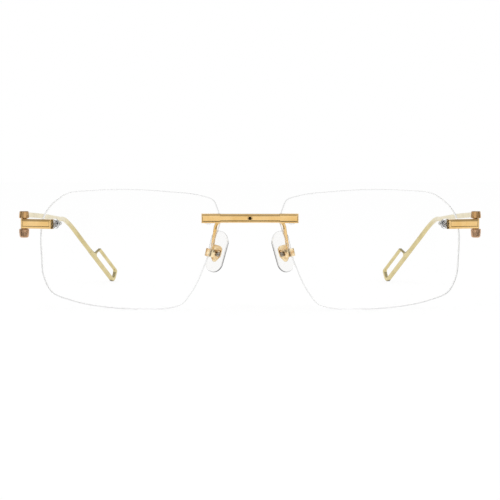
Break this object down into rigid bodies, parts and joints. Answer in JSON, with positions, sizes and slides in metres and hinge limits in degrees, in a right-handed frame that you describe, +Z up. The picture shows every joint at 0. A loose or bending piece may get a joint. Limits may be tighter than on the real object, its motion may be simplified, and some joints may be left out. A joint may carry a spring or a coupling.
{
  "type": "rimless eyeglasses",
  "caption": "Rimless eyeglasses with clear drilled lenses on a slim gold bridge and end pieces, rocking clear nose pads, and folding gold temples that end in open flat loops.",
  "frame": {"origin": "on the table, under the middle of the overall box, with the temples open", "axes": "+X towards the wearer's left, +Y from the lenses back to the temple tips, +Z up"},
  "size_m": [0.1438, 0.143, 0.0369],
  "materials": {
    "gold": "polished yellow-gold plating",
    "pale_gold": "polished pale-gold plating",
    "steel": "bright turned steel",
    "clear_lens": "clear, polished, anti-reflection coated",
    "clear_plastic": "clear, moulded",
    "clear_silicone": "clear, soft, slightly satin"
  },
  "bodies": {
    "front": {"lens_right": "clear_lens", "lens_left": "clear_lens", "bridge_bar": "gold", "bridge_screw": "gold", "endpiece_right": "gold", "endpiece_left": "gold", "lens_studs": "steel", "lens_washers": "clear_plastic", "lens_sleeves": "clear_plastic", "lens_nuts": "steel", "hinge_washers": "steel", "pad_arm_right": "gold", "pad_arm_left": "gold", "pad_box_right": "gold", "pad_box_left": "gold", "pad_screw_right": "steel", "pad_screw_left": "steel"},
    "temple_left": {"temple_knuckle_left": "gold", "temple_arm_left": "pale_gold", "temple_tip_left": "pale_gold", "hinge_screw_left": "gold", "hinge_cap_left": "gold"},
    "temple_right": {"temple_knuckle_right": "gold", "temple_arm_right": "pale_gold", "temple_tip_right": "pale_gold", "hinge_screw_right": "gold", "hinge_cap_right": "gold"},
    "pad_left": {"nose_pad_left": "clear_silicone", "pad_insert_left": "gold"},
    "pad_right": {"nose_pad_right": "clear_silicone", "pad_insert_right": "gold"}
  },
  "joints": [
    {"name": "temple_left_fold", "type": "hinge", "parent": "front", "child": "temple_left", "pos_m": [0.07039, -0.05788, 0.02605], "axis": [0, 0, 1], "range_deg": [0, 81]},
    {"name": "temple_right_fold", "type": "hinge", "parent": "front", "child": "temple_right", "pos_m": [-0.07039, -0.05788, 0.02605], "axis": [0, 0, -1], "range_deg": [0, 73]},
    {"name": "nose_pad_left_rock", "type": "hinge", "parent": "front", "child": "pad_left", "pos_m": [0.011, -0.06329, 0.017], "axis": [0.7464, 0.6428, 0.1723], "range_deg": [-10, 10]},
    {"name": "nose_pad_right_rock", "type": "hinge", "parent": "front", "child": "pad_right", "pos_m": [-0.011, -0.06329, 0.017], "axis": [0.7464, -0.6428, -0.1723], "range_deg": [-10, 10]}
  ]
}
